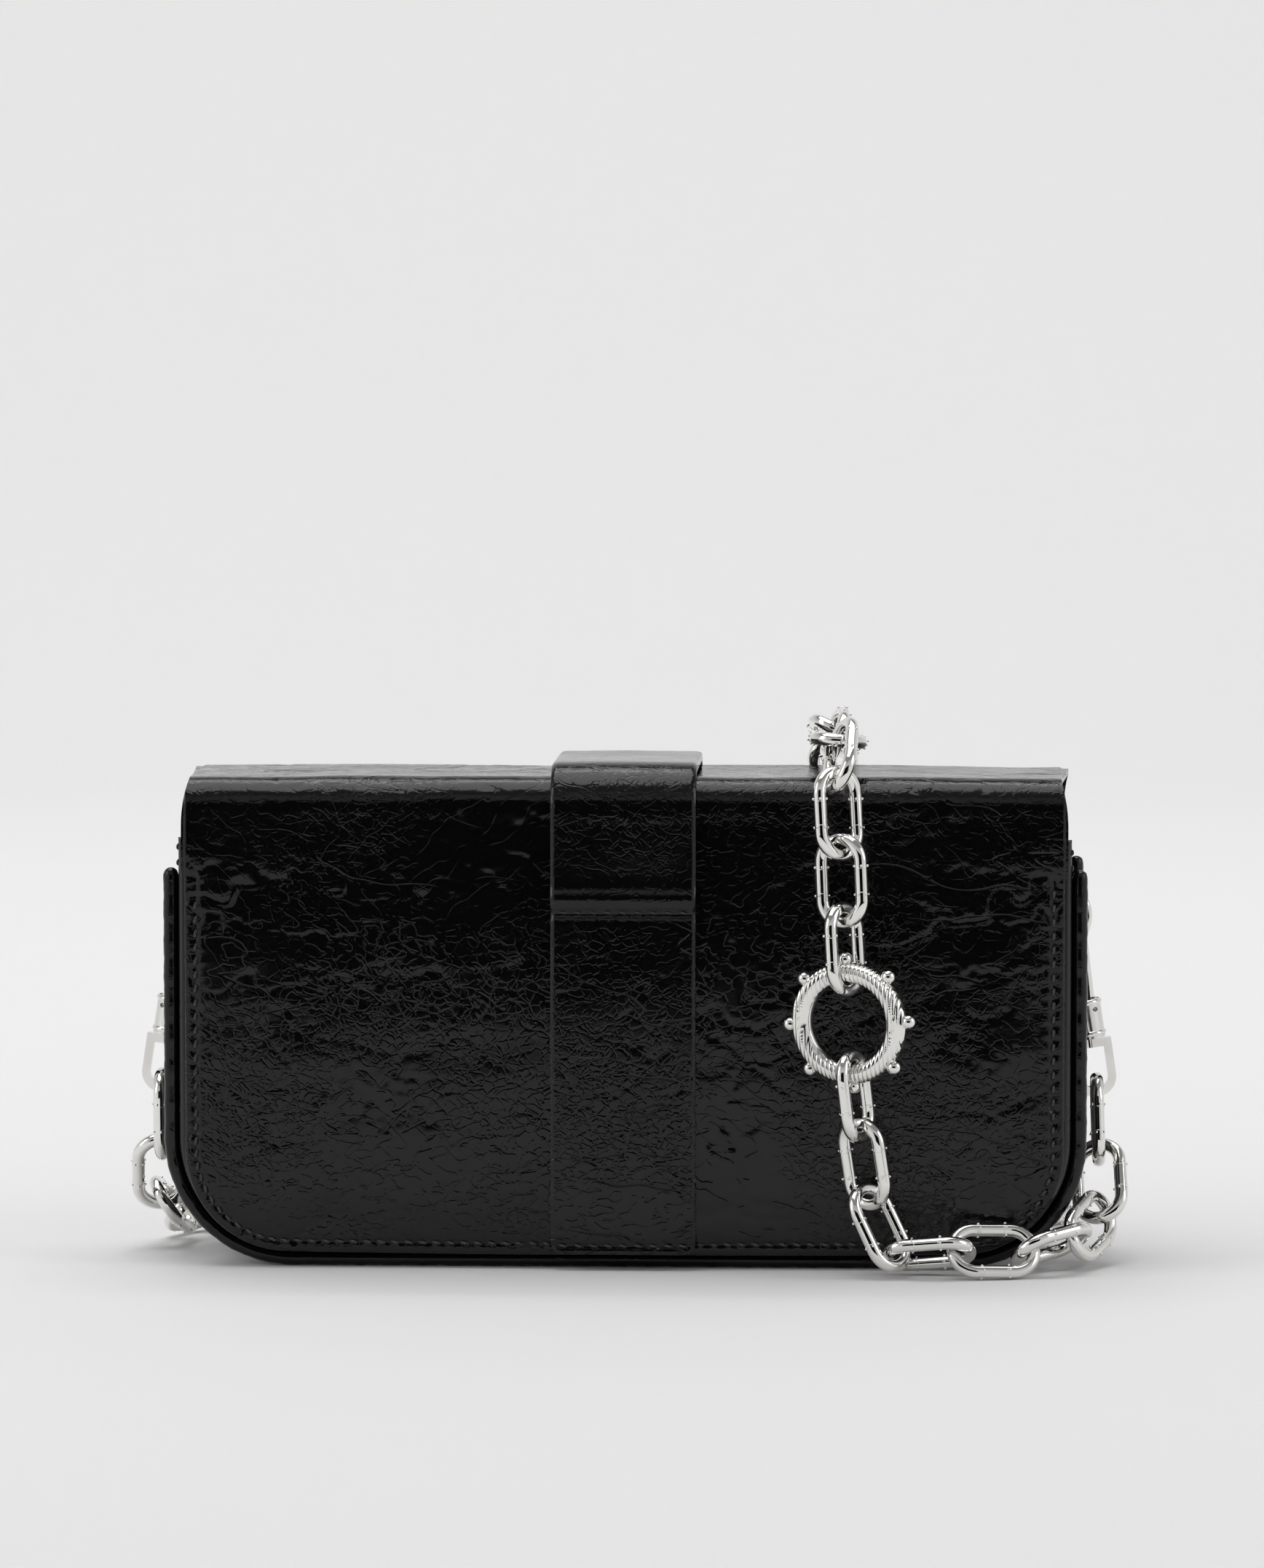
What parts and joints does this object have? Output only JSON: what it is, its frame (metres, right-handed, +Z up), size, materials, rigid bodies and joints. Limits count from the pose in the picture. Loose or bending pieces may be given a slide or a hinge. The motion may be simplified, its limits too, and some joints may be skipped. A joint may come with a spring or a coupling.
{
  "type": "crossbody bag",
  "caption": "Baguette crossbody bag in crinkled glossy leather: full flap, central strap band with hidden snap, piped edges, and a clip-on chain strap with a studded ring.",
  "frame": {"origin": "middle of the gusset's flat bottom, on the floor", "axes": "+X along the bag, +Y from the sewn back to the flap front, +Z up"},
  "size_m": [0.2629, 0.1506, 0.1445],
  "materials": {
    "crinkled_leather": "glossy crinkled black leather",
    "smooth_leather": "smooth semi-gloss black leather",
    "piping_leather": "glossy black leather over cord",
    "lining_fabric": "woven dark lining",
    "stiffener_board": "fibre board with foam",
    "base_board": "pressed fibre board",
    "snap_nickel": "polished nickel",
    "clasp_nickel": "polished nickel",
    "ring_nickel": "polished nickel with engraved lines",
    "chain_nickel": "polished nickel",
    "steel": "plain steel"
  },
  "bodies": {
    "body": {"back_panel": "smooth_leather", "front_panel": "smooth_leather", "gusset": "smooth_leather", "back_piping": "piping_leather", "front_piping": "piping_leather", "back_cover": "crinkled_leather", "strap_band_back": "crinkled_leather", "back_stiffener": "stiffener_board", "front_stiffener": "stiffener_board", "base_board": "base_board", "lining": "lining_fabric", "slip_pocket": "lining_fabric", "snap_female": "snap_nickel", "snap_washer": "steel", "d_tab_right": "smooth_leather", "d_tab_left": "smooth_leather", "hook_right": "clasp_nickel", "hook_left": "clasp_nickel", "gate_pin_right": "steel", "gate_pin_left": "steel", "gate_spring_right": "steel", "gate_spring_left": "steel", "chain_right_drop": "chain_nickel", "chain_floor_back": "chain_nickel", "chain_back_lower": "chain_nickel", "chain_back_upper": "chain_nickel", "chain_front_low": "chain_nickel", "chain_floor_turn": "chain_nickel", "chain_floor_run_right": "chain_nickel", "chain_floor_run": "chain_nickel", "chain_floor_run_left": "chain_nickel", "chain_floor_left": "chain_nickel", "chain_left_drop": "chain_nickel"},
    "flap": {"flap": "crinkled_leather", "flap_lining": "lining_fabric", "strap_band_top": "crinkled_leather", "chain_over_top": "chain_nickel", "chain_front": "chain_nickel"},
    "tongue": {"strap_tongue": "crinkled_leather", "snap_male": "snap_nickel"},
    "d_ring_right": {"d_ring_right": "clasp_nickel"},
    "d_ring_left": {"d_ring_left": "clasp_nickel"},
    "gate_right": {"gate_right": "clasp_nickel"},
    "gate_left": {"gate_left": "clasp_nickel"},
    "swivel_eye_right": {"swivel_eye_right": "clasp_nickel"},
    "swivel_eye_left": {"swivel_eye_left": "clasp_nickel"},
    "ornament_ring": {"ornament_ring": "ring_nickel"}
  },
  "joints": [
    {"name": "flap_hinge", "type": "hinge", "parent": "body", "child": "flap", "pos_m": [0, -0.0328, 0.13001], "axis": [1, 0, 0], "range_deg": [0, 70]},
    {"name": "strap_tongue_hinge", "type": "hinge", "parent": "flap", "child": "tongue", "pos_m": [0, 0.02988, 0.12798], "axis": [1, 0, 0], "range_deg": [0, 100]},
    {"name": "gate_right_hinge", "type": "hinge", "parent": "body", "child": "gate_right", "pos_m": [0.11938, -0.00228, 0.06533], "axis": [-0.9406, 0.309, -0.1406], "range_deg": [0, 25], "stiffness_Nm_per_rad": 0.02, "springref_deg": -17.19},
    {"name": "gate_left_hinge", "type": "hinge", "parent": "body", "child": "gate_left", "pos_m": [-0.11938, -0.00228, 0.06533], "axis": [-0.9406, -0.309, 0.1406], "range_deg": [0, 25], "stiffness_Nm_per_rad": 0.02, "springref_deg": -17.19},
    {"name": "swivel_right", "type": "hinge", "parent": "body", "child": "swivel_eye_right", "pos_m": [0.11758, 0, 0.08238], "axis": [-0.1478, 0, 0.989], "range_deg": [-10, 10]},
    {"name": "swivel_left", "type": "hinge", "parent": "body", "child": "swivel_eye_left", "pos_m": [-0.11758, 0, 0.08238], "axis": [-0.1478, 0, -0.989], "range_deg": [-10, 10]},
    {"name": "d_ring_right_turn", "type": "hinge", "parent": "body", "child": "d_ring_right", "pos_m": [0.11395, 0, 0.09], "axis": [0, 0, 1], "range_deg": [-4, 4]},
    {"name": "d_ring_left_turn", "type": "hinge", "parent": "body", "child": "d_ring_left", "pos_m": [-0.11395, 0, 0.09], "axis": [0, 0, 1], "range_deg": [-4, 4]},
    {"name": "ornament_ring_turn", "type": "hinge", "parent": "body", "child": "ornament_ring", "pos_m": [0.05848, -0.03859, 0.06568], "axis": [-0.3745, -0.9268, -0.028], "range_deg": [-6, 6]}
  ]
}
